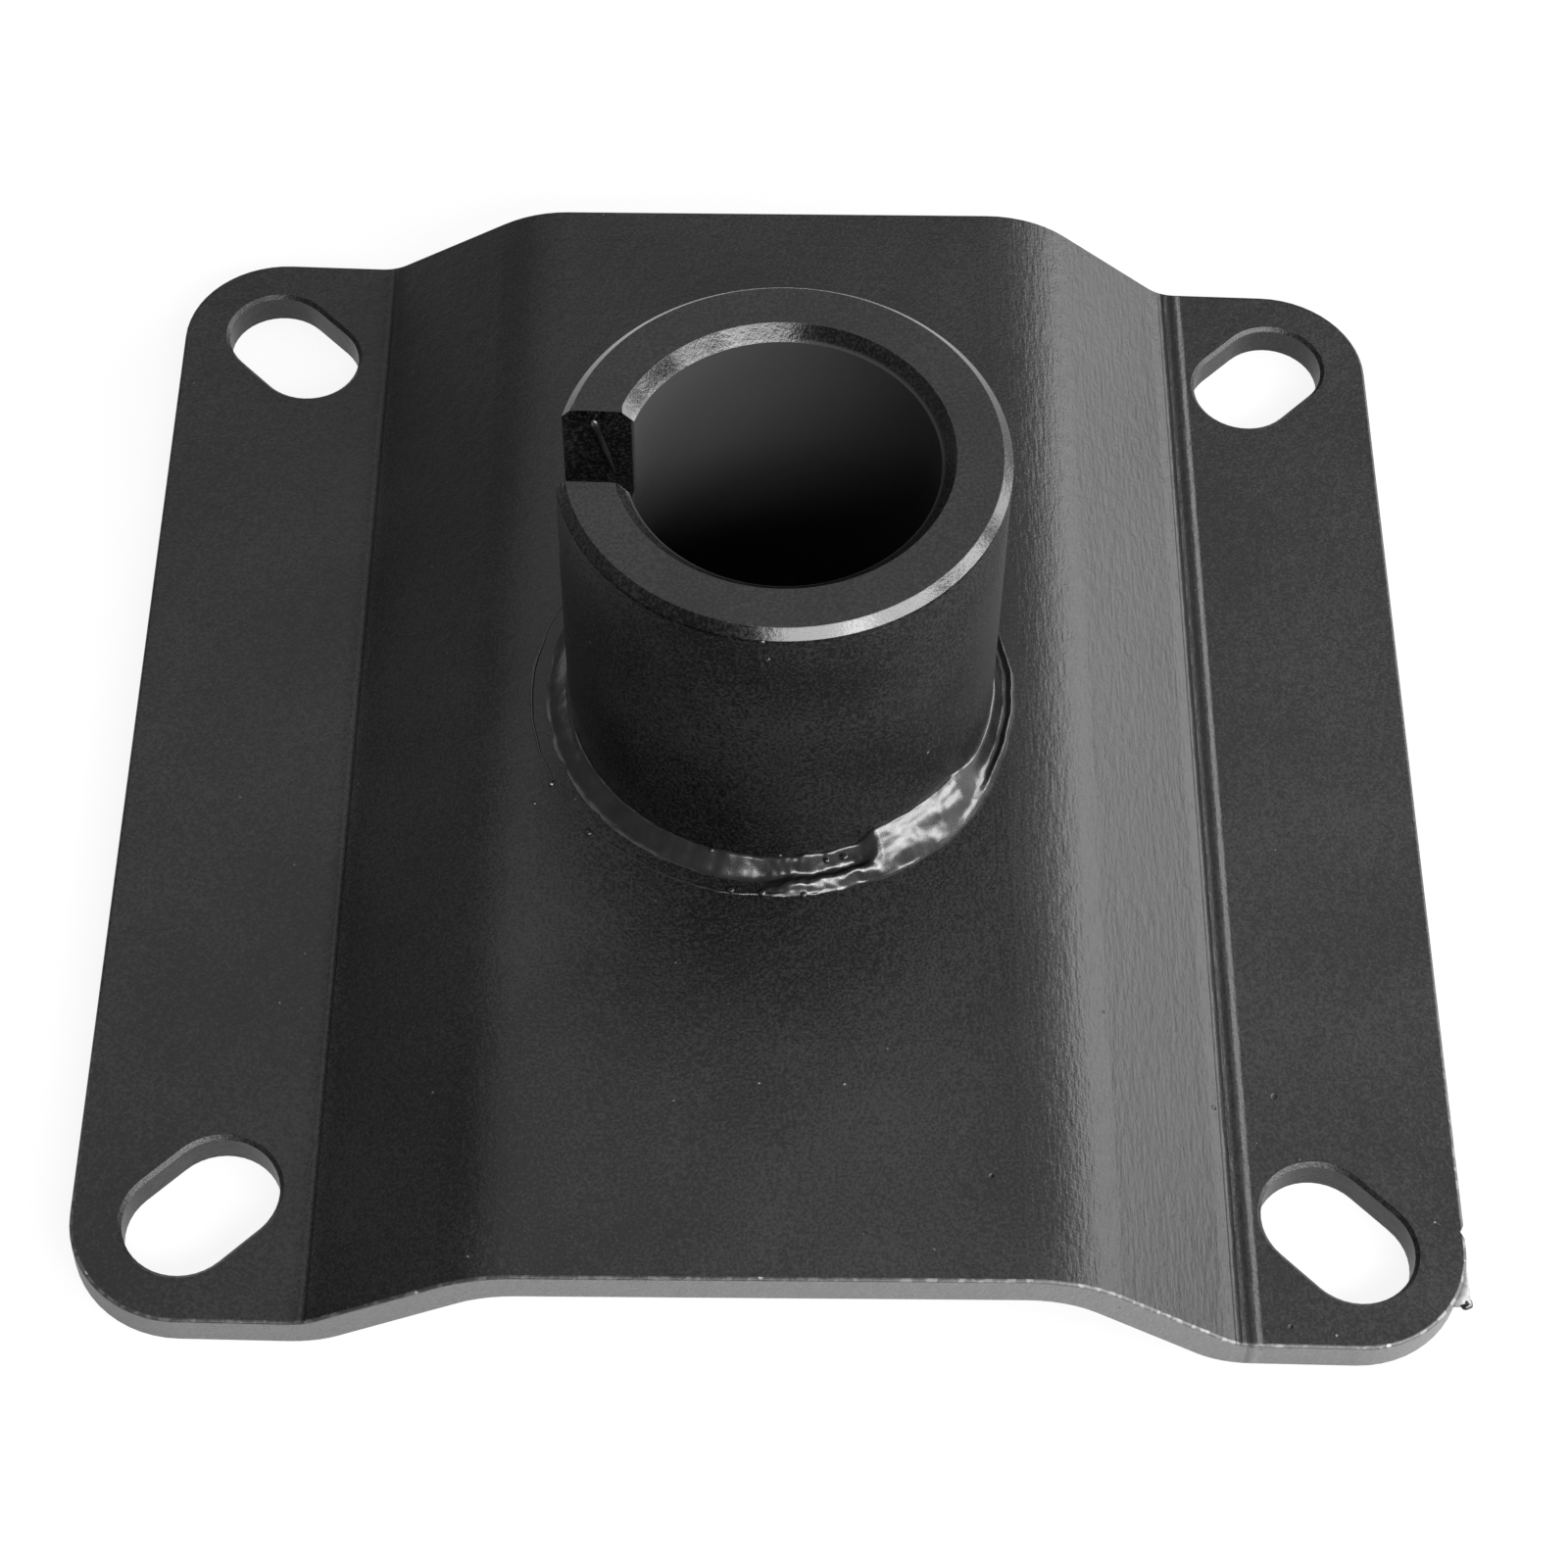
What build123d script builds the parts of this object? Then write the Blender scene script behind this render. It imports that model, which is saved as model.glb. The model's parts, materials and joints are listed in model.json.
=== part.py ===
from build123d import *

import os
from math import atan2, cos, degrees, radians, sin, tan

# Chair base plate: a folded steel plate whose raised middle carries a thick-walled socket tube, joined by
# one hand-laid fillet weld. Millimetres and degrees, +Z up, origin at the middle of the flanges' underside.
# X runs across the folds and Y along them.

# Folded plate
plate_width = 150.0
plate_length = 150.0
sheet = 4.0
rise = 12.6
lean = 2.0
upper_fold_span = 62.8
lower_fold_radius = 6.0
upper_fold_radius = 12.0
corner_radius = 12.5
edge_round = 0.4

# Small nick knocked into the +X edge, near its front corner
nick_from_front = 14.3
nick_width = 1.8
nick_depth = 0.55

# Press-tool line along the middle of each lower fold
tool_line_depth = 0.15
tool_line_radius = 0.7

# Slots that point at the plate's centre, with a land of flat flange between each slot and the fold
slot_width = 12.6
slot_length = 18.1
slot_inset = 13.8
slot_fold_land = 3.65
slot_edge_chamfer = 0.45

# Socket tube
tube_diameter = 48.3
bore_diameter = 33.4
tube_length = 42.2
rim_round = 1.0
mouth_round = 1.5
round_facets = 3
notch_width = 9.7
notch_depth = 13.0
notch_direction = 178.5

# Fillet weld: its leg is widest on the plate and lowest on the tube in one direction
weld_plate_leg = 3.8
weld_plate_uneven = 1.1
weld_tube_leg = 2.1
weld_tube_uneven = 0.5
weld_wide_direction = -160.0
weld_lump = 0.2
weld_crown = 0.45
weld_toe = 0.3
weld_root = 1.0
weld_section_angle = 7.5
weld_join_direction = -150.0

# Heavier last run of the weld, between two angles round the tube from +X, with a steep start and stop
last_run_start = -72.0
last_run_stop = -4.0
last_run_ramp = 9.0
last_run_plate_gain = 0.35
last_run_tube_gain = 3.0

# Slot places, flange width and heights that follow from the sizes above
slot_x = plate_width / 2 - slot_inset
slot_y = plate_length / 2 - slot_inset
slot_angle = degrees(atan2(slot_y, slot_x))
slot_reach = (slot_length - slot_width) / 2 * cos(radians(slot_angle)) + slot_width / 2
flange_width = slot_inset + slot_reach + slot_fold_land
lower_fold_span = plate_width - 2 * flange_width
middle_top = rise + sheet
tube_radius = tube_diameter / 2
bore_radius = bore_diameter / 2
lean_rise = tan(radians(lean)) * upper_fold_span / 2
web_run = (lower_fold_span - upper_fold_span) / 2

# Plane of the raised middle's upper face, which the tube stands square to
tube_axis = Vector(-sin(radians(lean)), 0, cos(radians(lean)))
middle_across = Vector(cos(radians(lean)), 0, sin(radians(lean)))
middle_plane = Plane(origin=(0, 0, middle_top), x_dir=middle_across, z_dir=tube_axis)

# Folded plate: the upper face's line is drawn first, then the sheet's thickness hangs below it
with BuildPart() as base_plate:
    with BuildSketch(Plane.XZ):
        with BuildLine():
            FilletPolyline(
                (-plate_width / 2, sheet),
                (-lower_fold_span / 2, sheet),
                (-upper_fold_span / 2, middle_top - lean_rise),
                (upper_fold_span / 2, middle_top + lean_rise),
                (lower_fold_span / 2, sheet),
                (plate_width / 2, sheet),
                radius=[
                    lower_fold_radius,
                    upper_fold_radius + sheet,
                    upper_fold_radius + sheet,
                    lower_fold_radius,
                ],
            )
            offset(amount=sheet, side=Side.RIGHT)
        make_face()
    extrude(amount=plate_length / 2, both=True)
    fillet(base_plate.edges().filter_by(Axis.Z), corner_radius)
    upper_faces = base_plate.faces().filter_by(lambda face: face.normal_at().Z > 0.5)
    rim_faces = base_plate.faces().filter_by(lambda face: abs(face.normal_at().Z) < 0.1)
    fillet(upper_faces.edges() & rim_faces.edges(), edge_round)
    with BuildSketch(Plane.XZ):
        for side_x in (-1, 1):
            half_fold = atan2(rise + side_x * lean_rise, web_run) / 2
            fold_middle = lower_fold_radius * (1 / cos(half_fold) - 1)
            line_reach = fold_middle + tool_line_radius - tool_line_depth
            line_x = side_x * (lower_fold_span / 2 + line_reach * sin(half_fold))
            with Locations((line_x, sheet + line_reach * cos(half_fold))):
                Circle(tool_line_radius)
    extrude(amount=plate_length / 2, both=True, mode=Mode.SUBTRACT)
    with BuildSketch():
        for side_x, turn in ((1, slot_angle), (-1, -slot_angle)):
            with Locations((side_x * slot_x, slot_y), (-side_x * slot_x, -slot_y)):
                SlotOverall(slot_length, slot_width, rotation=turn)
    extrude(amount=sheet, mode=Mode.SUBTRACT)
    flange_tops = base_plate.faces().filter_by(Plane.XY).filter_by(lambda face: face.center().Z > sheet / 2)
    slot_mouths = [edge for face in flange_tops for wire in face.inner_wires() for edge in wire.edges()]
    chamfer(slot_mouths, slot_edge_chamfer)
    nick_y = nick_from_front - plate_length / 2
    with BuildSketch():
        with BuildLine():
            Polyline(
                (plate_width / 2, nick_y - nick_width / 2),
                (plate_width / 2 - nick_depth, nick_y),
                (plate_width / 2, nick_y + nick_width / 2),
                close=True,
            )
        make_face()
    extrude(amount=sheet, mode=Mode.SUBTRACT)
base_plate.part.label = "base_plate"

def radial_plane(angle):
    """Plane through the tube's axis: local x runs outwards at this angle, local y up the axis."""
    turn = radians(angle)
    outward = middle_plane.x_dir * cos(turn) + middle_plane.y_dir * sin(turn)
    return Plane(origin=middle_plane.origin, x_dir=outward, z_dir=outward.cross(tube_axis))


def faceted_round(wall, size):
    """Quarter round in facets, from a wall at this radius over onto the rim. A size below 0 runs inwards."""
    turns = [radians(90 * step / round_facets) for step in range(round_facets + 1)]
    return [(wall + size * (1 - cos(turn)), tube_length - abs(size) * (1 - sin(turn))) for turn in turns]


# Socket tube: turned square to the raised middle, with a locking notch through its wall at the rim
outer_round = faceted_round(tube_radius, -rim_round)
mouth = faceted_round(bore_radius, mouth_round)
with BuildPart() as hub_tube:
    with BuildSketch(radial_plane(0)):
        with BuildLine():
            Polyline((bore_radius, 0), (tube_radius, 0), *outer_round, *reversed(mouth), close=True)
        make_face()
    revolve(axis=Axis(middle_plane.origin, tube_axis))
    with BuildSketch(middle_plane.offset(tube_length)):
        with Locations(Location((0, 0), notch_direction)):
            Rectangle(tube_diameter, notch_width, align=(Align.MIN, Align.CENTER))
    extrude(amount=-notch_depth, mode=Mode.SUBTRACT)
hub_tube.part.label = "hub_tube"


def bead_section(angle):
    """Cross-section of the bead at this angle, sunk a little into the tube and the plate."""
    wide = cos(radians(angle - weld_wide_direction))
    lump = weld_lump * (sin(radians(7 * angle)) + sin(radians(13 * angle + 50)))
    into_last_run = min(angle - last_run_start, last_run_stop - angle) / last_run_ramp
    heavy = max(0, min(1, into_last_run))
    plate_leg = weld_plate_leg + weld_plate_uneven * wide + lump + last_run_plate_gain * heavy
    tube_leg = weld_tube_leg - weld_tube_uneven * wide + lump + last_run_tube_gain * heavy
    bulge = Vector(tube_leg, plate_leg).normalized() * weld_crown
    with BuildSketch(radial_plane(angle)) as section:
        with BuildLine():
            Polyline(
                (tube_radius, tube_leg),
                (tube_radius - weld_root, tube_leg),
                (tube_radius - weld_root, -weld_root),
                (tube_radius + plate_leg, -weld_root),
                (tube_radius + plate_leg, weld_toe),
            )
            ThreePointArc(
                (tube_radius + plate_leg, weld_toe),
                (tube_radius + plate_leg / 2 + bulge.X, tube_leg / 2 + bulge.Y),
                (tube_radius, tube_leg),
            )
        make_face()
    return section.sketch.face()


# Fillet weld: two half rings of lumpy sections, trimmed by the tube and the plate that they are laid on
half_steps = round(180 / weld_section_angle)
with BuildPart() as weld_bead:
    for half_start in (weld_join_direction, weld_join_direction + 180):
        loft(sections=[bead_section(half_start + 180 * step / half_steps) for step in range(half_steps + 1)])
    add(hub_tube.part, mode=Mode.SUBTRACT)
    add(base_plate.part, mode=Mode.SUBTRACT)
weld_bead.part.label = "weld_bead"

os.makedirs("parts", exist_ok=True)
export_step(base_plate.part, "parts/base_plate.step")
export_step(hub_tube.part, "parts/hub_tube.step")
export_step(weld_bead.part, "parts/weld_bead.step")
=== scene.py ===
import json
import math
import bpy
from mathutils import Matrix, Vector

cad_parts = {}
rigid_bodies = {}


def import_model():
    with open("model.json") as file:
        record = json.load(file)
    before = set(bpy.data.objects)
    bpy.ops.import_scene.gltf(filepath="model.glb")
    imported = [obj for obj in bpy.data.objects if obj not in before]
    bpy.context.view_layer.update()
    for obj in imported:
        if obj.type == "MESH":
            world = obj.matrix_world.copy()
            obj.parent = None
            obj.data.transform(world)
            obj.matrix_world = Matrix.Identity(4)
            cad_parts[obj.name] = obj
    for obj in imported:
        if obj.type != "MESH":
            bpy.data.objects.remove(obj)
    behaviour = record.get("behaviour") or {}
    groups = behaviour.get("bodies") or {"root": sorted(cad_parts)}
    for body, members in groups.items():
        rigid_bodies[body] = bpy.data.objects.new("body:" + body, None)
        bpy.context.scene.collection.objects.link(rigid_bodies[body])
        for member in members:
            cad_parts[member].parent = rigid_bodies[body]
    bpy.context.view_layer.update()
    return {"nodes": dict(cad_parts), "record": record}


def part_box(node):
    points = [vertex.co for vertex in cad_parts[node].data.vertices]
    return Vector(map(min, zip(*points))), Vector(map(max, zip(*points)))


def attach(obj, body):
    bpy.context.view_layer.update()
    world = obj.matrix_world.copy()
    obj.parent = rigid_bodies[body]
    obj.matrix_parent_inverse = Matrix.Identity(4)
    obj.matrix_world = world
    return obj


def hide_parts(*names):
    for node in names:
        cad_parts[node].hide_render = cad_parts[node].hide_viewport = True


bl_info = {
    "name": "Chair base plate",
    "version": (1, 0, 0),
    "blender": (4, 5, 0),
    "location": "View3D > Sidebar > Base plate",
    "description": "Dresses the packed chair base plate in its powder coat, weld and small marks",
    "category": "Object",
}

import bmesh
import bpy
from bpy.props import FloatProperty, FloatVectorProperty, IntProperty, PointerProperty
from mathutils import Matrix, Vector, noise

for leftover in list(bpy.data.objects):
    bpy.data.objects.remove(leftover)
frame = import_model()

MM = 0.001
# Radius of the plate's corners in millimetres
CORNER_RADIUS = 12.5
# Edges of the tube stay smooth up to this angle in degrees
SMOOTH_UP_TO = 40.0
# Points of the tube that lie closer than this are one point, in metres
MERGE_WITHIN = 1e-6
# Sizes of the worn 45 degree bands on the tube's rim and on the bore's mouth, in millimetres
RIM_BAND = 1.0
MOUTH_BAND = 1.5

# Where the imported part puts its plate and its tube
SOCKET = next(mount for mount in frame["record"]["mounts"] if mount["name"] == "socket_bore")
TUBE_AXIS = Vector(SOCKET["axis"]).normalized()
LEAN = math.atan2(-TUBE_AXIS.x, TUBE_AXIS.z)
PLATE_LOW, PLATE_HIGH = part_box("base_plate")
TUBE_LOW, TUBE_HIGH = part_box("hub_tube")
TUBE_RADIUS = (TUBE_HIGH.y - TUBE_LOW.y) / 2
TUBE_FOOT = Vector((0.0, 0.0, TUBE_LOW.z + TUBE_RADIUS * math.sin(LEAN)))
TUBE_FRAME = Matrix.Translation(TUBE_FOOT) @ Matrix.Rotation(-LEAN, 4, "Y")
TUBE_TURNED = TUBE_FRAME.inverted()
TUBE_LENGTH = max((TUBE_TURNED @ vert.co).z for vert in frame["nodes"]["hub_tube"].data.vertices)
BORE_RADIUS = SOCKET["dims"]["r_mm"] * MM

# Directions of the softboxes, with the keys in an arc: azimuth from +X and elevation in degrees
KEY_DIRECTIONS = ((-74.0, 38.0), (-42.0, 32.0), (-12.0, 19.0))
SHEEN_DIRECTION = (32.0, 20.0)
TOP_DIRECTION = (94.0, 62.0)
# Distance, width and height of the softboxes in metres
KEY_BOX = (0.8, 0.5, 0.24)
SHEEN_BOX = (0.9, 0.55, 0.45)
TOP_BOX = (1.0, 1.2, 0.8)
# Half the floor's side in metres, and its drop below the plate in millimetres
FLOOR_HALF = 6.0
FLOOR_DROP = 0.2

# Right web and the lines rolled along its foot, in millimetres from the plate's middle
RIGHT_WEB = (24.0, 52.0)
ROLLED_RIDGE = (50.7, 51.7)
ROLLED_STEP = (48.7, 49.6)
# Runs of the weld: the angles round the tube between which each one rises and falls, in degrees from +X
TWIN_RIDGES = (-96.0, -84.0, -73.0, -64.0)
LAST_RUN = (-73.0, -64.0, -40.0, -20.0)
THIN_RAILS = (-40.0, -20.0, 12.0, 30.0)
# Spatter beside the weld: angle round the tube in degrees, then reach, height and size in millimetres
SPATTER = (
    (-152.7, 28.8, 0.1, 0.35),
    (-149.9, 31.7, 0.05, 0.22),
    (-137.0, 29.1, 0.1, 0.42),
    (-107.9, 24.4, 1.9, 0.32),
    (-101.0, 27.9, 0.2, 0.4),
    (-93.8, 27.8, 0.25, 0.45),
    (-84.5, 28.0, 0.2, 0.38),
    (-78.0, 25.0, 1.9, 0.4),
    (-73.5, 25.0, 2.0, 0.45),
)
# Nibs under the tube's coat: angle in degrees, then height and size in millimetres
NIBS = (
    (-93.65, 38.2, 0.35),
    (-94.9, 41.0, 0.28),
)
# Ends of the paint run on the notch's far wall, in millimetres
RUN_TOP = (-21.6, 4.95, 57.2)
RUN_FOOT = (-19.2, 4.95, 48.6)
# Torn sliver at the front right corner, in millimetres: start and length along the edge, foot and thickness
BURR_START, BURR_LENGTH = 0.4, 7.0
BURR_FOOT, BURR_THICK = 2.6, 0.9
BURR_STEPS = 12


def ramp(low, high, value):
    """Smooth step from 0 at low to 1 at high."""
    share = min(1.0, max(0.0, (value - low) / (high - low)))
    return share * share * (3.0 - 2.0 * share)


def window(value, rise_from, rise_to, fall_from, fall_to):
    """1 between rise_to and fall_from, with smooth ends."""
    return ramp(rise_from, rise_to, value) * (1.0 - ramp(fall_from, fall_to, value))


def hump(value, middle, width):
    """Bell curve of height 1."""
    return math.exp(-(((value - middle) / width) ** 2))


class Level:
    """A number on a material's surface that takes part in Python arithmetic."""

    def __init__(self, finish, socket):
        self.finish = finish
        self.socket = socket

    def __add__(self, other):
        return self.finish.math("ADD", self, other)

    def __radd__(self, other):
        return self.finish.math("ADD", other, self)

    def __sub__(self, other):
        return self.finish.math("SUBTRACT", self, other)

    def __rsub__(self, other):
        return self.finish.math("SUBTRACT", other, self)

    def __mul__(self, other):
        return self.finish.math("MULTIPLY", self, other)

    def __rmul__(self, other):
        return self.finish.math("MULTIPLY", other, self)


class Finish:
    """A material under construction, read in Object coordinates."""

    def __init__(self, name):
        self.material = bpy.data.materials.new(name)
        self.material.use_nodes = True
        self.tree = self.material.node_tree
        self.tree.nodes.clear()

    def node(self, kind, settings=None, sockets=None):
        """Adds a node: its settings first, then the values or links of its sockets."""
        made = self.tree.nodes.new(kind)
        for key, value in (settings or {}).items():
            setattr(made, key, value)
        for key, value in (sockets or {}).items():
            if isinstance(value, Level):
                self.tree.links.new(value.socket, made.inputs[key])
            else:
                made.inputs[key].default_value = value
        return made

    def level(self, node, output=0):
        return Level(self, node.outputs[output])

    def math(self, operation, *values):
        sockets = dict(enumerate(values))
        return self.level(self.node("ShaderNodeMath", {"operation": operation}, sockets))

    def step(self, low, high, value):
        """Smooth step of a surface number, from 0 at low to 1 at high."""
        sockets = {"Value": value, "From Min": low, "From Max": high}
        return self.level(self.node("ShaderNodeMapRange", {"interpolation_type": "SMOOTHSTEP"}, sockets))

    def blend(self, share, first, second):
        """Mix of two colours."""
        made = self.node("ShaderNodeMix", {"data_type": "RGBA"}, {0: share, 6: first, 7: second})
        return self.level(made, 2)

    def place(self):
        """Object coordinates, in millimetres."""
        start = self.level(self.node("ShaderNodeTexCoord"), "Object")
        made = self.node("ShaderNodeVectorMath", {"operation": "SCALE"}, {0: start, "Scale": 1.0 / MM})
        return self.level(made)

    def axes(self, place):
        made = self.node("ShaderNodeSeparateXYZ", sockets={0: place})
        return [self.level(made, axis) for axis in range(3)]

    def shifted(self, place, offset):
        made = self.node("ShaderNodeVectorMath", {"operation": "ADD"}, {0: place, 1: offset})
        return self.level(made)

    def noise(self, place, size, detail=2.0, roughness=0.5):
        """Noise from about 0 to 1, with features of this size in millimetres."""
        sockets = {"Vector": place, "Scale": 1.0 / size, "Detail": detail, "Roughness": roughness}
        return self.level(self.node("ShaderNodeTexNoise", sockets=sockets), 0)

    def dots(self, place, spacing, radius, share):
        """Round dots of this radius in millimetres, in this share of the cells of a loose grid."""
        sockets = {"Vector": place, "Scale": 1.0 / spacing, "Randomness": 1.0}
        cells = self.node("ShaderNodeTexVoronoi", {"feature": "F1"}, sockets)
        reach = radius / spacing
        dot = 1.0 - self.step(0.5 * reach, reach, self.level(cells, "Distance"))
        split = self.node("ShaderNodeSeparateColor", sockets={0: self.level(cells, "Color")})
        chance = self.level(split, 0)
        return dot * self.math("LESS_THAN", chance, share)

    def band(self, value, low, high, soft):
        """1 where the value lies between low and high, with soft ends."""
        return self.step(low - soft, low + soft, value) * (1.0 - self.step(high - soft, high + soft, value))

    def finished(self, colour, roughness, specular, height, depth):
        """Joins colour, gloss and relief to the shader."""
        bump = {"Height": height, "Strength": 1.0, "Distance": depth * MM}
        relief = self.node("ShaderNodeBump", sockets=bump)
        sockets = {
            "Base Color": colour,
            "Roughness": roughness,
            "Specular IOR Level": specular,
            "Normal": self.level(relief),
        }
        shader = self.node("ShaderNodeBsdfPrincipled", sockets=sockets)
        out = self.node("ShaderNodeOutputMaterial")
        self.tree.links.new(shader.outputs[0], out.inputs[0])
        return self.material


class CoatSettings(bpy.types.PropertyGroup):
    """Colours and grain of the powder coat."""

    black: FloatVectorProperty(
        name="Black",
        description="Main colour of the coat",
        subtype="COLOR",
        default=(0.001, 0.001, 0.0011),
    )
    faded: FloatVectorProperty(
        name="Faded black",
        description="Colour of the coat's paler grain",
        subtype="COLOR",
        default=(0.015, 0.015, 0.0156),
    )
    # Also the colour of the painted highlight along the plate's upper corner
    speck_and_glint: FloatVectorProperty(
        name="Speck",
        description="Colour of dust specks and chips",
        subtype="COLOR",
        default=(0.3, 0.3, 0.3),
    )
    # Painted sheen: the cut faces take this paler grey to stand in for the light they catch
    edge: FloatVectorProperty(
        name="Cut edge",
        description="Colour of the thin coat on the plate's cut edges",
        subtype="COLOR",
        default=(0.14, 0.14, 0.14),
    )
    bore: FloatVectorProperty(
        name="Bore",
        description="Colour of the dull coat inside the tube",
        subtype="COLOR",
        default=(0.035, 0.035, 0.036),
    )
    gloss: FloatProperty(
        name="Roughness",
        description="Roughness of the satin coat",
        default=0.42,
        min=0.05,
        max=1.0,
    )
    specular: FloatProperty(
        name="Specular",
        description="Specular level of the coat",
        default=0.45,
        min=0.0,
        max=1.0,
    )
    grain: FloatProperty(
        name="Grain",
        description="Size of the powder grain in millimetres",
        default=0.35,
        min=0.05,
    )
    peel: FloatProperty(
        name="Orange peel",
        description="Size of the coat's ripples in millimetres",
        default=1.7,
        min=0.2,
    )


class WeldSettings(bpy.types.PropertyGroup):
    """Shape of the fillet weld, in metres and in degrees round the tube from +X."""

    plate_leg: FloatProperty(
        name="Plate leg",
        description="Reach of the weld over the plate",
        unit="LENGTH",
        default=0.0038,
    )
    plate_uneven: FloatProperty(
        name="Plate leg uneven",
        description="Change of the plate leg round the tube",
        unit="LENGTH",
        default=0.0011,
    )
    tube_leg: FloatProperty(
        name="Tube leg",
        description="Reach of the weld up the tube",
        unit="LENGTH",
        default=0.0021,
    )
    tube_uneven: FloatProperty(
        name="Tube leg uneven",
        description="Change of the tube leg round the tube",
        unit="LENGTH",
        default=0.0005,
    )
    last_run_plate_gain: FloatProperty(
        name="Last run on plate",
        description="Extra reach of the last run over the plate",
        unit="LENGTH",
        default=0.0005,
    )
    last_run_tube_gain: FloatProperty(
        name="Last run on tube",
        description="Extra reach of the last run up the tube",
        unit="LENGTH",
        default=0.0026,
    )
    wide_direction: FloatProperty(
        name="Wide direction",
        description="Where the plate leg is widest, in degrees",
        default=-160.0,
    )
    sunk: FloatProperty(
        name="Sunk",
        description="Depth of the root in tube and plate",
        unit="LENGTH",
        default=0.0004,
    )
    sections: IntProperty(
        name="Sections",
        description="Number of sections round the tube",
        default=720,
        min=90,
    )
    points: IntProperty(
        name="Points",
        description="Number of points in each section",
        default=64,
        min=16,
    )


class StudioSettings(bpy.types.PropertyGroup):
    """Camera, floor and lights."""

    camera_place: FloatVectorProperty(
        name="Camera place",
        description="Where the camera stands",
        subtype="XYZ",
        unit="LENGTH",
        default=(-0.0133079, -0.2445663, 0.3479577),
        precision=6,
    )
    yaw: FloatProperty(
        name="Yaw",
        description="Camera's turn from +Y towards +X, in degrees",
        default=3.4045,
    )
    pitch: FloatProperty(
        name="Pitch",
        description="Camera's tilt above the horizon, in degrees",
        default=-54.9995,
    )
    roll: FloatProperty(
        name="Roll",
        description="Camera's turn about its own line of sight, in degrees",
        default=4.4171,
    )
    lens: FloatProperty(
        name="Lens",
        description="Focal length in millimetres on a 36 mm sensor",
        default=82.712,
    )
    room: FloatProperty(
        name="Room light",
        description="Strength of the even light from all round",
        default=0.2,
    )
    floor_white: FloatProperty(
        name="Floor white",
        description="Share of plain white in what is seen of the floor",
        default=0.88,
        min=0.0,
        max=1.0,
    )
    key_power: FloatProperty(
        name="Key lights",
        description="Power of each softbox in the arc on the front right",
        unit="POWER",
        default=5.2,
    )
    sheen_power: FloatProperty(
        name="Sheen light",
        description="Power of the softbox behind on the right",
        unit="POWER",
        default=6.2,
    )
    top_power: FloatProperty(
        name="Top light",
        description="Power of the softbox overhead",
        unit="POWER",
        default=2.9,
    )


def keep(shape, name, material, replaces=()):
    """Turns a bmesh into a finished piece on the part's one body."""
    bmesh.ops.remove_doubles(shape, verts=shape.verts, dist=1e-7)
    bmesh.ops.recalc_face_normals(shape, faces=shape.faces)
    mesh = bpy.data.meshes.new(name)
    shape.to_mesh(mesh)
    shape.free()
    for face in mesh.polygons:
        face.use_smooth = True
    mesh.materials.append(material)
    piece = bpy.data.objects.new(name, mesh)
    bpy.context.scene.collection.objects.link(piece)
    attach(piece, "root")
    if replaces:
        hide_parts(*replaces)
    return piece


def paint(colour):
    """A colour property with its alpha."""
    return (*colour, 1.0)


def satin_base(finish, place, settings):
    """Grain, orange peel and mottled black that every satin face has."""
    grain = finish.noise(place, settings.grain, detail=2.0, roughness=0.6)
    peel = finish.noise(place, settings.peel, detail=1.0)
    cloud = finish.noise(place, 20.0, detail=3.0)
    mottle = finish.step(0.4, 0.66, cloud * 0.3 + grain * 0.7)
    return grain, peel, cloud, finish.blend(mottle, paint(settings.black), paint(settings.faded))


def outline_distance(finish, across, along):
    """Distance outside the plate's rounded outline in millimetres, less than 0 inside it."""
    half_x = PLATE_HIGH.x / MM - CORNER_RADIUS
    half_y = PLATE_HIGH.y / MM - CORNER_RADIUS
    over_x = finish.math("ABSOLUTE", across) - half_x
    over_y = finish.math("ABSOLUTE", along) - half_y
    out_x = finish.math("MAXIMUM", over_x, 0.0)
    out_y = finish.math("MAXIMUM", over_y, 0.0)
    beyond = finish.math("SQRT", out_x * out_x + out_y * out_y)
    within = finish.math("MINIMUM", finish.math("MAXIMUM", over_x, over_y), 0.0)
    return beyond + within - CORNER_RADIUS


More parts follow.
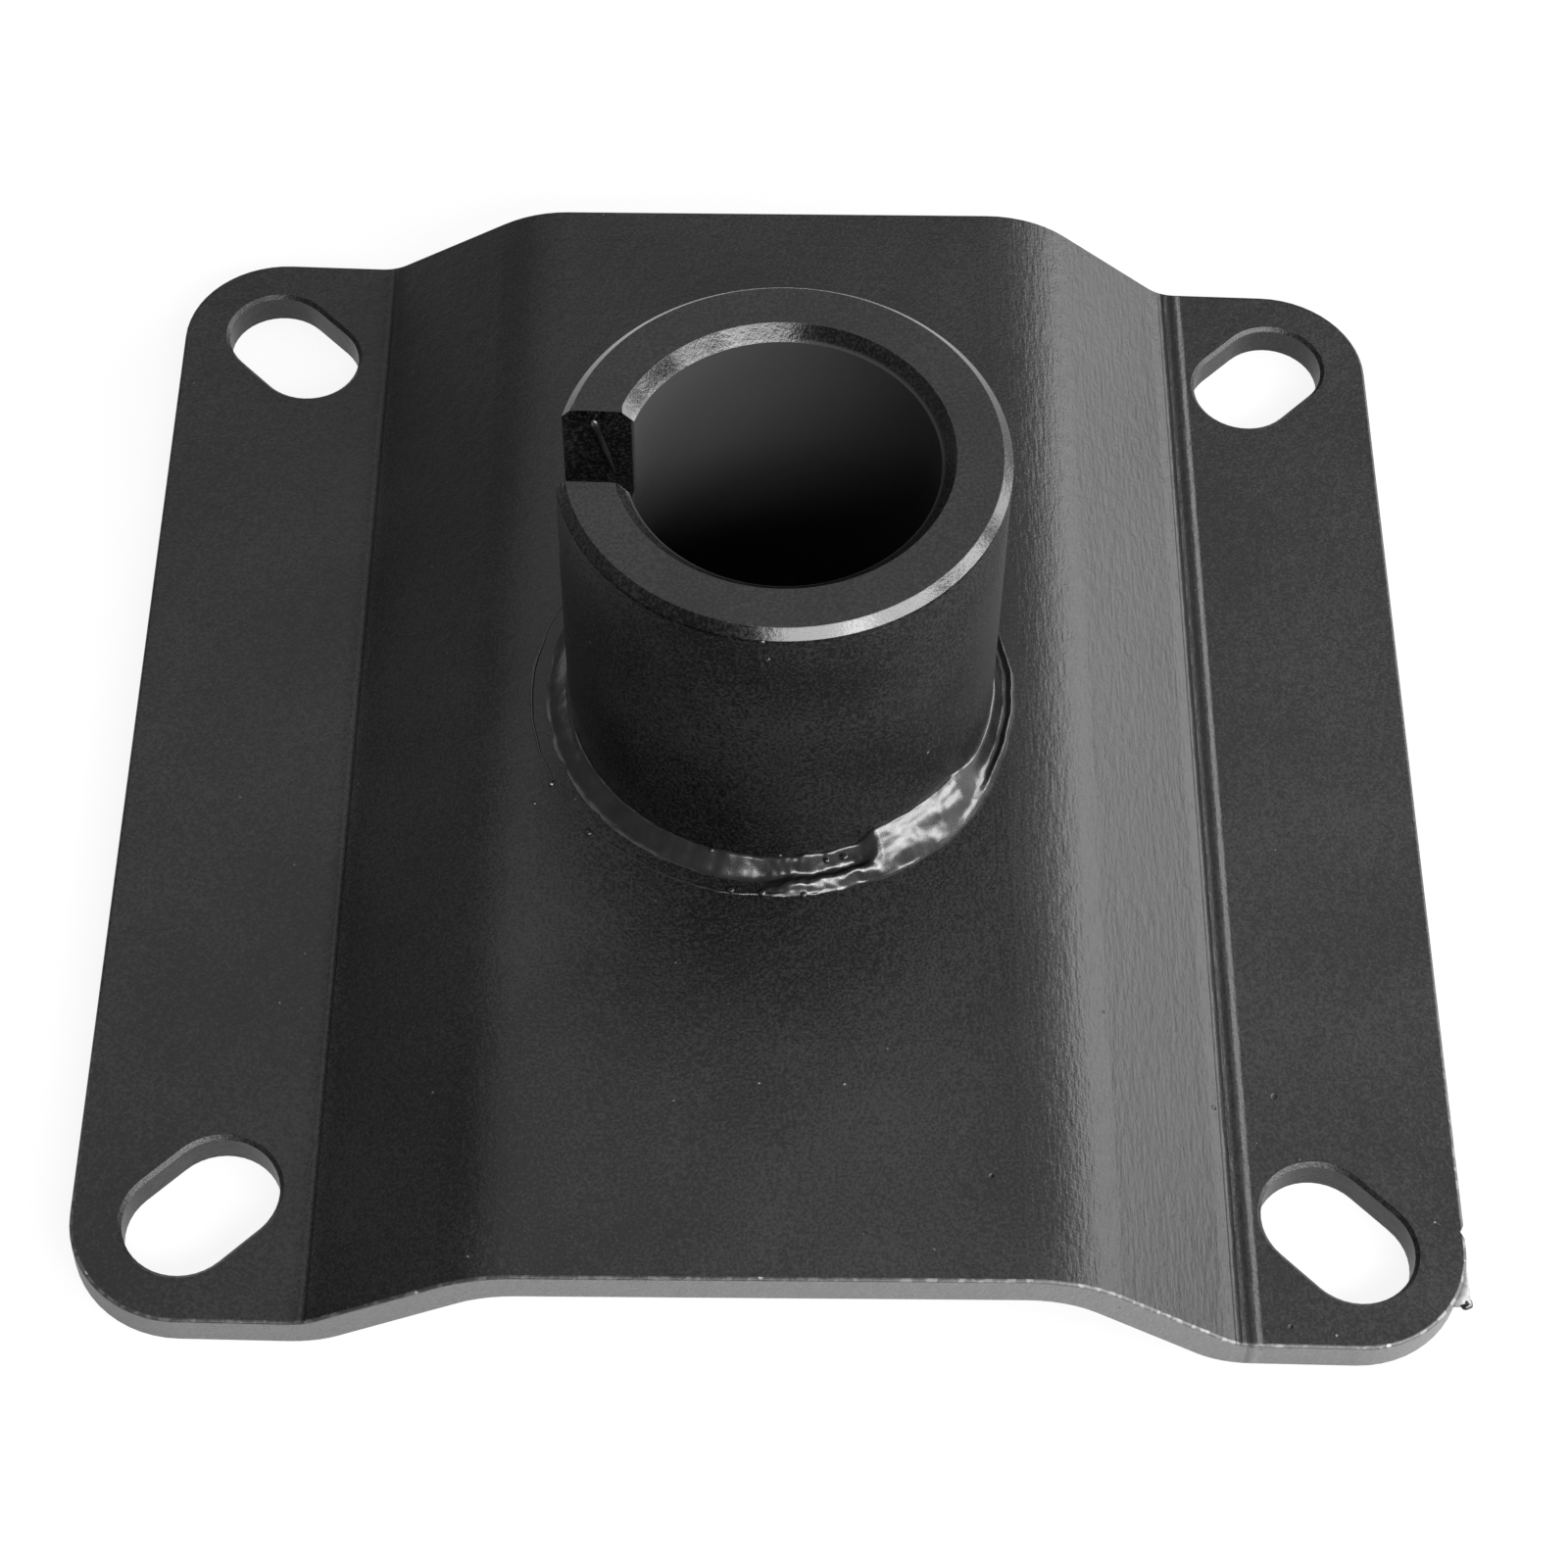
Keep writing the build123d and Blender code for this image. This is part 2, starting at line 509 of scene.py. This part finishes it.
def plate_coat(settings):
    """Satin powder coat of the folded plate, with dust under the coat, painted sheen on the cut faces and a
    painted highlight along their upper corner, there also partly real wear and chips.
    """
    finish = Finish("plate_powder_coat")
    place = finish.place()
    across, along, _ = finish.axes(place)
    grain, peel, cloud, colour = satin_base(finish, place, settings)
    front = 1.0 - finish.step(-66.0, -25.0, along)
    right = finish.step(0.0, 28.0, across)

    # Dust under the coat, pinholes near the front right, and rolling streaks on the right web
    dusty = finish.step(0.42, 0.6, finish.noise(place, 14.0)) * (0.3 + 0.7 * front)
    dust = finish.dots(place, 2.3, 0.2, 0.22) * dusty
    pits = finish.dots(finish.shifted(place, (31.0, 17.0, 5.0)), 3.3, 0.36, 0.2) * front * right
    slanted = {"Vector": place, "Rotation": (0.0, 0.0, 0.7), "Scale": (2.2, 0.35, 1.0)}
    turned = finish.level(finish.node("ShaderNodeMapping", sockets=slanted))
    streak = finish.noise(turned, 1.0, detail=2.0) * finish.band(across, *RIGHT_WEB, 6.0)
    colour = finish.blend(dust * 0.6, colour, paint(settings.speck_and_glint))

    # Cut edge: painted sheen, paler on its face; painted highlight in places along its rounded upper
    # corner, with some real knocks and chips
    distance = outline_distance(finish, across, along)
    face = finish.step(-0.06, -0.02, distance)
    corner = finish.band(distance, -0.38, -0.06, 0.05)
    knock = finish.step(0.5, 0.64, finish.noise(place, 1.1, detail=1.0))
    # Fades in towards the front of the plate
    front_part = finish.step(-20.0, -70.0, along)
    # Painted highlight along the rounded upper corner, heavier on the lit right side, partly real wear
    # where the knock noise breaks it up
    worn = corner * (0.35 + 0.65 * right) * (0.35 + 0.65 * knock) * front_part
    chips = finish.dots(finish.shifted(place, (7.0, 3.0, 0.0)), 1.6, 0.4, 0.4) * corner * front_part
    # Painted sheen: the cut faces take the paler edge colour all round
    colour = finish.blend(face * (0.7 + 0.5 * (grain - 0.5)), colour, paint(settings.edge))
    colour = finish.blend(finish.math("MINIMUM", worn * 0.6 + chips, 1.0), colour, paint(settings.speck_and_glint))

    # Lines that the press tool rolled along the foot of the right web
    rolled = finish.band(across, *ROLLED_RIDGE, 0.45) * 2.8 - finish.step(*ROLLED_STEP, across) * 0.6

    rough = settings.gloss + 0.08 * (cloud - 0.5) + 0.16 * (grain - 0.5) + 0.1 * face
    height = grain * 0.6 + peel * 0.7 + dust * 1.2 - pits * 2.0 + streak * 0.8 + rolled
    return finish.finished(colour, rough, settings.specular, height, 0.1)


def tube_coat(settings):
    """Satin powder coat of the socket tube, a little thinner on its turned faces."""
    finish = Finish("tube_powder_coat")
    place = finish.place()
    across, along, up = finish.axes(place)
    grain, peel, cloud, colour = satin_base(finish, place, settings)
    dust = finish.dots(place, 3.1, 0.2, 0.12) * finish.step(0.45, 0.6, finish.noise(place, 11.0))
    colour = finish.blend(dust * 0.6, colour, paint(settings.speck_and_glint))

    # Worn smooth on the rim's and the mouth's bands, and dull inside the bore
    height_up = across * TUBE_AXIS.x + up * TUBE_AXIS.z - TUBE_FOOT.z / MM * TUBE_AXIS.z
    length = TUBE_LENGTH / MM
    worn = finish.band(height_up, length - MOUTH_BAND, length - 0.05, 0.04)
    aside = across - height_up * (TUBE_AXIS.x / TUBE_AXIS.z)
    reach = finish.math("SQRT", aside * aside + along * along)
    inside = 1.0 - finish.step(BORE_RADIUS / MM + 0.1, BORE_RADIUS / MM + 0.4, reach)
    colour = finish.blend(inside, colour, paint(settings.bore))

    rough = settings.gloss - 0.06 + 0.08 * (cloud - 0.5) + 0.14 * (grain - 0.5) - 0.17 * worn
    height = grain * 0.4 + peel * 0.5 + dust
    return finish.finished(colour, rough, settings.specular, height, 0.05)


def weld_coat(settings):
    """Thicker, glossier coat that has flowed over the weld's lumps."""
    finish = Finish("weld_powder_coat")
    place = finish.place()
    grain = finish.noise(place, settings.grain, detail=2.0)
    flow = finish.noise(place, 2.4, detail=2.0)
    colour = finish.blend(flow, paint(settings.black), paint(settings.faded))
    rough = 0.27 + 0.1 * (flow - 0.5) + 0.06 * (grain - 0.5)
    height = grain * 0.15 + flow * 0.4
    return finish.finished(colour, rough, settings.specular + 0.25, height, 0.05)


def bare_steel():
    """Steel where the coat is torn away."""
    finish = Finish("torn_bright_steel")
    place = finish.place()
    scratch = finish.noise(place, 0.6, detail=3.0)
    colour = finish.blend(scratch, (0.1, 0.1, 0.1, 1.0), (0.4, 0.4, 0.4, 1.0))
    return finish.finished(colour, 0.35 + 0.2 * scratch, 0.5, scratch, 0.05)


class CHAIRBASE_OT_plate(bpy.types.Operator):
    """Gives the folded plate its powder coat"""

    bl_idname = "chair_base.plate"
    bl_label = "Coat plate"

    def execute(self, context):
        material = plate_coat(context.scene.chair_base_coat)
        for slot in frame["nodes"]["base_plate"].material_slots:
            slot.material = material
        return {"FINISHED"}


def flatten_round(vert, wall, size):
    """Moves a point of a faceted quarter round onto the flat band between the round's ends.

    A size below 0 runs inwards from the wall.
    """
    local = TUBE_TURNED @ vert.co
    reach = math.hypot(local.x, local.y)
    out = 1.0 - (reach - wall) / size
    up = 1.0 - (TUBE_LENGTH - local.z) / abs(size)
    if 0.05 < out < 0.95 and 0.05 < up < 0.95:
        new_reach = wall + size * (1.0 - out / (out + up))
        local.x, local.y = local.x * new_reach / reach, local.y * new_reach / reach
        local.z = TUBE_LENGTH - abs(size) * (1.0 - up / (out + up))
        vert.co = TUBE_FRAME @ local


class CHAIRBASE_OT_tube(bpy.types.Operator):
    """Wears the turned edges of the socket tube flat and gives it its powder coat"""

    bl_idname = "chair_base.tube"
    bl_label = "Coat tube"

    def execute(self, context):
        source = frame["nodes"]["hub_tube"].data
        shape = bmesh.new()
        points = [shape.verts.new(vert.co) for vert in source.vertices]
        for face in source.polygons:
            shape.faces.new([points[corner] for corner in face.vertices])
        bmesh.ops.remove_doubles(shape, verts=shape.verts, dist=MERGE_WITHIN)
        for vert in shape.verts:
            flatten_round(vert, TUBE_RADIUS, -RIM_BAND * MM)
            flatten_round(vert, BORE_RADIUS, MOUTH_BAND * MM)
        piece = keep(shape, "socket_tube", tube_coat(context.scene.chair_base_coat), ["hub_tube"])
        piece.data.set_sharp_from_angle(angle=math.radians(SMOOTH_UP_TO))
        return {"FINISHED"}


def weld_runs(angle):
    """Shares of the plain collar, the twin ridges, the heavy last run and the thin rails at this angle."""
    last_run = window(angle, *LAST_RUN)
    twin = window(angle, *TWIN_RIDGES)
    rails = window(angle, *THIN_RAILS)
    return max(0.0, 1.0 - last_run - twin - rails), twin, last_run, rails


def weld_legs(angle, settings):
    """Reach of the weld over the plate and up the tube at this angle, in millimetres."""
    wide = math.cos(math.radians(angle - settings.wide_direction))
    last_run = weld_runs(angle)[2]
    spot = Vector((math.cos(math.radians(angle)), math.sin(math.radians(angle)), 0.0))
    lump = noise.noise(spot * 7.0) * 0.25 + noise.noise(spot * 17.0) * 0.12
    plate_leg = settings.plate_leg + settings.plate_uneven * wide + settings.last_run_plate_gain * last_run
    tube_leg = settings.tube_leg - settings.tube_uneven * wide + settings.last_run_tube_gain * last_run
    return plate_leg / MM + lump, tube_leg / MM + lump


def weld_height(angle, out, legs):
    """Height of the weld's face in millimetres at this share of the way from the tube to the plate toe."""
    plate_leg, tube_leg = legs
    plain, twin, last_run, rails = weld_runs(angle)

    # Profiles: a steep collar with a faint toe line, two ridges, a straight heap and two thin rails
    skirt = 1.0 - ramp(0.75, 1.0, out)
    collar = tube_leg * 1.4 * (1.0 - ramp(-0.25, 0.55, out)) - 0.12 * ramp(0.5, 0.65, out)
    collar += 0.24 * hump(out, 0.88, 0.035)
    ridges = 1.9 * hump(out, 0.05, 0.24) + 0.8 * hump(out, 0.66, 0.17) + 0.5 * skirt
    heap = tube_leg * (1.0 - out) + 0.3 * math.sin(math.pi * out)
    sides = 2.3 * hump(out, 0.0, 0.26) + 0.75 * hump(out, 0.8, 0.13) + 0.35 * skirt

    # Lumps, fine ripples and streaks along the run
    turn = math.radians(angle)
    reach = TUBE_RADIUS / MM + out * plate_leg
    spot = Vector((math.cos(turn) * reach, math.sin(turn) * reach, out * 3.0))
    coarse = noise.noise(spot * 0.42)
    fine = noise.noise(spot * 1.3 + Vector((9.0, 4.0, 2.0)))
    streak = noise.noise(Vector((turn * reach * 0.22, out * 3.4, 1.5)))

    height = plain * collar + twin * ridges * (1.0 + 0.35 * coarse) + last_run * heap + rails * sides
    rough_up = plain * (0.1 * coarse + 0.04 * fine) * (1.0 - ramp(0.45, 0.6, out))
    rough_up += twin * 0.18 * fine + rails * 0.14 * coarse
    rough_up += last_run * (0.28 * streak + 0.16 * coarse + 0.05 * fine)
    ends = ramp(0.0, 0.1, out) * (1.0 - ramp(0.86, 1.0, out))
    return height * (1.0 - ramp(0.93, 1.0, out)) + rough_up * ends


def weld_section(angle, turn_share, legs, settings):
    """Reach from the tube's wall and height of one point on the closed section."""
    face_share = 0.78
    sunk = settings.sunk / MM
    plate_leg = legs[0]
    top = weld_height(angle, 0.0, legs)
    if turn_share <= face_share:
        out = 1.0 - turn_share / face_share
        high = weld_height(angle, out, legs) - sunk * ramp(0.95, 1.0, out)
        return out * plate_leg - sunk * (1.0 - ramp(0.0, 0.05, out)), high
    share = (turn_share - face_share) / (1.0 - face_share)
    corner = 0.45
    if share < corner:
        down = share / corner
        return -sunk, top * (1.0 - down) - sunk * down
    over = (share - corner) / (1.0 - corner)
    return -sunk + (plate_leg + sunk) * over, -sunk


class CHAIRBASE_OT_weld(bpy.types.Operator):
    """Lays the lumpy fillet weld round the foot of the tube"""

    bl_idname = "chair_base.weld"
    bl_label = "Lay weld"

    def execute(self, context):
        settings = context.scene.chair_base_weld
        shape = bmesh.new()
        section_turn = Matrix.Translation((TUBE_RADIUS, 0.0, 0.0)) @ Matrix.Rotation(math.pi / 2, 4, "X")
        bmesh.ops.create_circle(shape, segments=settings.points, radius=2 * MM, matrix=section_turn)
        bmesh.ops.spin(
            shape,
            geom=shape.verts[:] + shape.edges[:],
            cent=(0.0, 0.0, 0.0),
            axis=(0.0, 0.0, 1.0),
            angle=2 * math.pi,
            steps=settings.sections,
            use_merge=True,
        )
        legs = {}
        for vert in shape.verts:
            reach = math.hypot(vert.co.x, vert.co.y)
            turn = math.atan2(vert.co.y, vert.co.x)
            round_section = math.atan2(vert.co.z, reach - TUBE_RADIUS) / (2 * math.pi)
            angle = round(math.degrees(turn), 3)
            if angle not in legs:
                legs[angle] = weld_legs(angle, settings)
            out, high = weld_section(angle, round_section % 1.0, legs[angle], settings)
            reach = TUBE_RADIUS + out * MM
            vert.co = (reach * math.cos(turn), reach * math.sin(turn), high * MM)
        bmesh.ops.transform(shape, matrix=TUBE_FRAME, verts=shape.verts)
        keep(shape, "weld_fillet", weld_coat(context.scene.chair_base_coat), ["weld_bead"])
        return {"FINISHED"}


def on_tube(angle, reach, height):
    """Point at this angle round the tube, reach from its axis and height above its foot, in millimetres."""
    turn = math.radians(angle)
    return TUBE_FRAME @ (Vector((reach * math.cos(turn), reach * math.sin(turn), height)) * MM)


def add_blob(shape, place, size, flat, seed):
    """Adds a lumpy drop of this size in millimetres, flattened upwards."""
    turn = Matrix.Translation(place) @ Matrix.Diagonal((1.0, 1.0, flat, 1.0))
    made = bmesh.ops.create_icosphere(shape, subdivisions=3, radius=size * MM, matrix=turn)
    for vert in made["verts"]:
        lump = noise.noise((vert.co - place) / (size * MM) * 1.3 + Vector((seed, 0.0, 0.0)))
        vert.co = place + (vert.co - place) * (1.0 + 0.25 * lump)


class CHAIRBASE_OT_spatter(bpy.types.Operator):
    """Throws the small beads of spatter beside the weld and the nibs under the tube's coat"""

    bl_idname = "chair_base.spatter"
    bl_label = "Add spatter"

    def execute(self, context):
        shape = bmesh.new()
        radius = TUBE_RADIUS / MM
        for seed, (angle, reach, height, size) in enumerate(SPATTER):
            add_blob(shape, on_tube(angle, reach, height), size, 0.75, seed)
        for seed, (angle, height, size) in enumerate(NIBS):
            add_blob(shape, on_tube(angle, radius, height), size, 1.0, seed + 20)
        keep(shape, "weld_spatter", weld_coat(context.scene.chair_base_coat))
        return {"FINISHED"}


class CHAIRBASE_OT_paint_run(bpy.types.Operator):
    """Runs a thin drip of coat down the far wall of the rim notch"""

    bl_idname = "chair_base.paint_run"
    bl_label = "Add paint run"

    def execute(self, context):
        shape = bmesh.new()
        top, foot = Vector(RUN_TOP) * MM, Vector(RUN_FOOT) * MM
        along = (top - foot).normalized()
        length = (top - foot).length
        made = bmesh.ops.create_uvsphere(shape, u_segments=16, v_segments=32, radius=0.5)
        turn = along.to_track_quat("Z", "Y").to_matrix()
        for vert in made["verts"]:
            share = vert.co.z + 0.5
            thick = (0.3 + 0.5 * hump(share, 0.95, 0.12)) * MM
            round_part = Vector((vert.co.x, vert.co.y, 0.0)) * 2.0 * thick
            vert.co = foot + along * length * share + turn @ round_part
        keep(shape, "paint_run", weld_coat(context.scene.chair_base_coat))
        return {"FINISHED"}


class CHAIRBASE_OT_burr(bpy.types.Operator):
    """Leaves the torn sliver at the front corner of the +X edge, with a flake of coat at its end"""

    bl_idname = "chair_base.burr"
    bl_label = "Add corner burr"

    def execute(self, context):
        edge_x, front_y = PLATE_HIGH.x, PLATE_LOW.y
        round_x, round_y = edge_x - CORNER_RADIUS * MM, front_y + CORNER_RADIUS * MM
        shape = bmesh.new()
        outer, inner = [], []
        for step in range(BURR_STEPS + 1):
            along = round_y + (BURR_START - BURR_LENGTH * step / BURR_STEPS) * MM
            wave = 0.12 * MM * noise.noise(Vector((step * 0.9, 3.0, 1.0)))
            below = max(0.0, round_y - along)
            arc_x = round_x + math.sqrt((CORNER_RADIUS * MM) ** 2 - below**2)
            outer.append(shape.verts.new((edge_x + wave - 0.1 * MM, along, BURR_FOOT * MM)))
            inner.append(shape.verts.new((min(arc_x, edge_x) - 0.35 * MM, along, BURR_FOOT * MM)))
        ring = shape.faces.new(outer + inner[::-1])
        raised = bmesh.ops.extrude_face_region(shape, geom=[ring])
        lifted = [item for item in raised["geom"] if isinstance(item, bmesh.types.BMVert)]
        bmesh.ops.translate(shape, vec=(0.0, 0.0, BURR_THICK * MM), verts=lifted)
        keep(shape, "corner_burr", bare_steel())

        flake = bmesh.new()
        add_blob(flake, Vector((edge_x - 0.5 * MM, round_y - 6.4 * MM, 3.1 * MM)), 0.75, 0.6, 41.0)
        keep(flake, "coat_flake", weld_coat(context.scene.chair_base_coat))
        return {"FINISHED"}


def softbox(name, azimuth, elevation, distance, width, height, power):
    """Area light that faces the part from this direction, in degrees from +X and above the floor."""
    lamp = bpy.data.lights.new(name, "AREA")
    lamp.shape = "RECTANGLE"
    lamp.size = width
    lamp.size_y = height
    lamp.energy = power
    light = bpy.data.objects.new(name, lamp)
    turn, tilt = math.radians(azimuth), math.radians(elevation)
    direction = Vector((math.cos(turn) * math.cos(tilt), math.sin(turn) * math.cos(tilt), math.sin(tilt)))
    light.location = TUBE_FOOT + direction * distance
    light.rotation_euler = direction.to_track_quat("Z", "Y").to_euler()
    light.visible_camera = False
    bpy.context.scene.collection.objects.link(light)


def floor_finish(settings):
    """Pale floor that is seen nearly white and still takes the part's shadow."""
    finish = Finish("studio_floor")
    rays = finish.node("ShaderNodeLightPath")
    seen = finish.level(rays, "Is Camera Ray") + finish.level(rays, "Is Glossy Ray")
    seen = finish.math("MINIMUM", seen + finish.level(rays, "Is Transmission Ray"), 1.0)
    matt = finish.node("ShaderNodeBsdfDiffuse", sockets={"Color": (0.9, 0.9, 0.9, 1.0)})
    white = finish.node("ShaderNodeEmission", sockets={"Strength": 1.0})
    sockets = {0: seen * settings.floor_white, 1: finish.level(matt), 2: finish.level(white)}
    mixed = finish.node("ShaderNodeMixShader", sockets=sockets)
    out = finish.node("ShaderNodeOutputMaterial")
    finish.tree.links.new(mixed.outputs[0], out.inputs[0])
    return finish.material


class CHAIRBASE_OT_studio(bpy.types.Operator):
    """Sets up the floor, the soft lights and the camera"""

    bl_idname = "chair_base.studio"
    bl_label = "Set up studio"

    def execute(self, context):
        settings = context.scene.chair_base_studio
        scene = context.scene
        scene.view_settings.view_transform = "Standard"

        ground = bmesh.new()
        bmesh.ops.create_grid(ground, x_segments=1, y_segments=1, size=FLOOR_HALF)
        bmesh.ops.translate(ground, vec=(0.0, 0.0, PLATE_LOW.z - FLOOR_DROP * MM), verts=ground.verts)
        mesh = bpy.data.meshes.new("studio_floor")
        ground.to_mesh(mesh)
        ground.free()
        mesh.materials.append(floor_finish(settings))
        floor = bpy.data.objects.new("studio_floor", mesh)
        scene.collection.objects.link(floor)

        room = bpy.data.worlds.new("studio_room")
        room.use_nodes = True
        room.node_tree.nodes["Background"].inputs["Color"].default_value = (1.0, 1.0, 1.0, 1.0)
        room.node_tree.nodes["Background"].inputs["Strength"].default_value = settings.room
        scene.world = room

        for number, direction in enumerate(KEY_DIRECTIONS, start=1):
            softbox(f"key_softbox_{number}", *direction, *KEY_BOX, settings.key_power)
        softbox("sheen_softbox", *SHEEN_DIRECTION, *SHEEN_BOX, settings.sheen_power)
        softbox("top_softbox", *TOP_DIRECTION, *TOP_BOX, settings.top_power)

        yaw, pitch, roll = (math.radians(a) for a in (settings.yaw, settings.pitch, settings.roll))
        ahead = Vector((math.sin(yaw) * math.cos(pitch), math.cos(yaw) * math.cos(pitch), math.sin(pitch)))
        level = Vector((math.cos(yaw), -math.sin(yaw), 0.0))
        upright = level.cross(ahead)
        right = level * math.cos(roll) + upright * math.sin(roll)
        top = upright * math.cos(roll) - level * math.sin(roll)
        sight = bpy.data.cameras.new("photo_camera")
        sight.sensor_width = 36.0
        sight.lens = settings.lens
        sight.clip_start = 0.01
        camera = bpy.data.objects.new("photo_camera", sight)
        turn = Matrix((right, top, -ahead)).transposed().to_4x4()
        camera.matrix_world = Matrix.Translation(settings.camera_place) @ turn
        scene.collection.objects.link(camera)
        scene.camera = camera
        return {"FINISHED"}


class CHAIRBASE_PT_panel(bpy.types.Panel):
    """Lists the steps that dress the chair base plate"""

    bl_idname = "CHAIRBASE_PT_panel"
    bl_label = "Chair base plate"
    bl_space_type = "VIEW_3D"
    bl_region_type = "UI"
    bl_category = "Base plate"

    def draw(self, context):
        for step in STEPS:
            self.layout.operator(step.bl_idname)


STEPS = (
    CHAIRBASE_OT_plate,
    CHAIRBASE_OT_tube,
    CHAIRBASE_OT_weld,
    CHAIRBASE_OT_spatter,
    CHAIRBASE_OT_paint_run,
    CHAIRBASE_OT_burr,
    CHAIRBASE_OT_studio,
)
GROUPS = {
    "chair_base_coat": CoatSettings,
    "chair_base_weld": WeldSettings,
    "chair_base_studio": StudioSettings,
}
CLASSES = (*GROUPS.values(), *STEPS, CHAIRBASE_PT_panel)


def register():
    for made in CLASSES:
        bpy.utils.register_class(made)
    for name, group in GROUPS.items():
        setattr(bpy.types.Scene, name, PointerProperty(type=group))


def unregister():
    for name in GROUPS:
        delattr(bpy.types.Scene, name)
    for made in reversed(CLASSES):
        bpy.utils.unregister_class(made)


def main():
    register()
    bpy.ops.chair_base.plate()
    bpy.ops.chair_base.tube()
    bpy.ops.chair_base.weld()
    bpy.ops.chair_base.spatter()
    bpy.ops.chair_base.paint_run()
    bpy.ops.chair_base.burr()
    bpy.ops.chair_base.studio()


if __name__ == "__main__":
    main()
